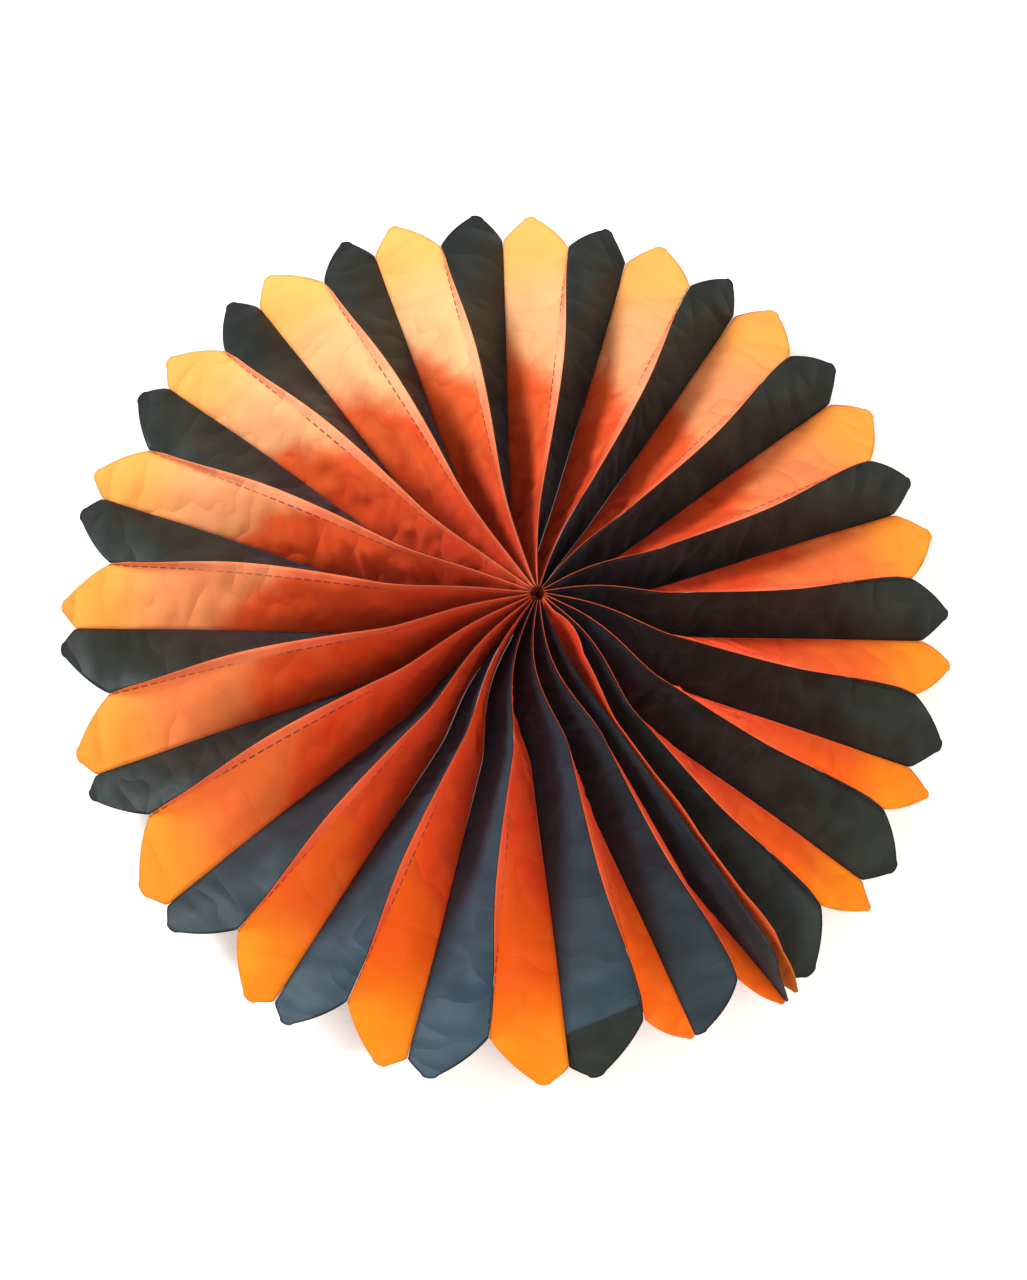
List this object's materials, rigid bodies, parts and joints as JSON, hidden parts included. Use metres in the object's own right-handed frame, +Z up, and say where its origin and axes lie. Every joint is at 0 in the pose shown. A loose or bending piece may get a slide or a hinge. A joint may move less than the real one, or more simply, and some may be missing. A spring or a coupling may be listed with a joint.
{
  "type": "paper fan rosette",
  "caption": "Round pleated tissue-paper fan opened flat to a full circle: dark and bright leaves with pointed tips take turns, glued edge to edge round a gathered centre.",
  "frame": {"origin": "on the hub's axis, in the plane of the lower folds that the fan lies on", "axes": "+Z up out of the face of the fan, +Y towards the top of the picture, +X to its right"},
  "size_m": [0.3972, 0.3966, 0.052],
  "materials": {
    "dark_tissue": "matt tissue with a faint cool sheen",
    "bright_tissue": "matt translucent tissue",
    "spine_paper": "matt"
  },
  "bodies": {
    "root": {"leaf_01_dark": "dark_tissue", "leaf_02_bright": "bright_tissue", "leaf_03_dark": "dark_tissue", "leaf_04_bright": "bright_tissue", "leaf_05_dark": "dark_tissue", "leaf_06_bright": "bright_tissue", "leaf_07_dark": "dark_tissue", "leaf_08_bright": "bright_tissue", "leaf_09_dark": "dark_tissue", "leaf_10_bright": "bright_tissue", "leaf_11_dark": "dark_tissue", "leaf_12_bright": "bright_tissue", "leaf_13_dark": "dark_tissue", "leaf_14_bright": "bright_tissue", "leaf_15_dark": "dark_tissue", "leaf_16_bright": "bright_tissue", "leaf_17_dark": "dark_tissue", "leaf_18_bright": "bright_tissue", "leaf_19_dark": "dark_tissue", "leaf_20_bright": "bright_tissue", "leaf_21_dark": "dark_tissue", "leaf_22_bright": "bright_tissue", "leaf_23_dark": "dark_tissue", "leaf_24_bright": "bright_tissue", "leaf_25_dark": "dark_tissue", "leaf_26_bright": "bright_tissue", "leaf_27_dark": "dark_tissue", "leaf_28_bright": "bright_tissue", "leaf_29_dark": "dark_tissue", "leaf_30_bright": "bright_tissue", "leaf_31_dark": "dark_tissue", "leaf_32_bright": "bright_tissue", "leaf_33_dark": "dark_tissue", "leaf_34_bright": "bright_tissue", "leaf_35_dark": "dark_tissue", "leaf_36_bright": "bright_tissue", "leaf_37_dark": "dark_tissue", "leaf_38_bright": "bright_tissue", "leaf_39_dark": "dark_tissue", "leaf_40_bright": "bright_tissue", "leaf_41_dark": "dark_tissue", "leaf_42_bright": "bright_tissue", "spine_ring": "spine_paper"}
  },
  "joints": []
}
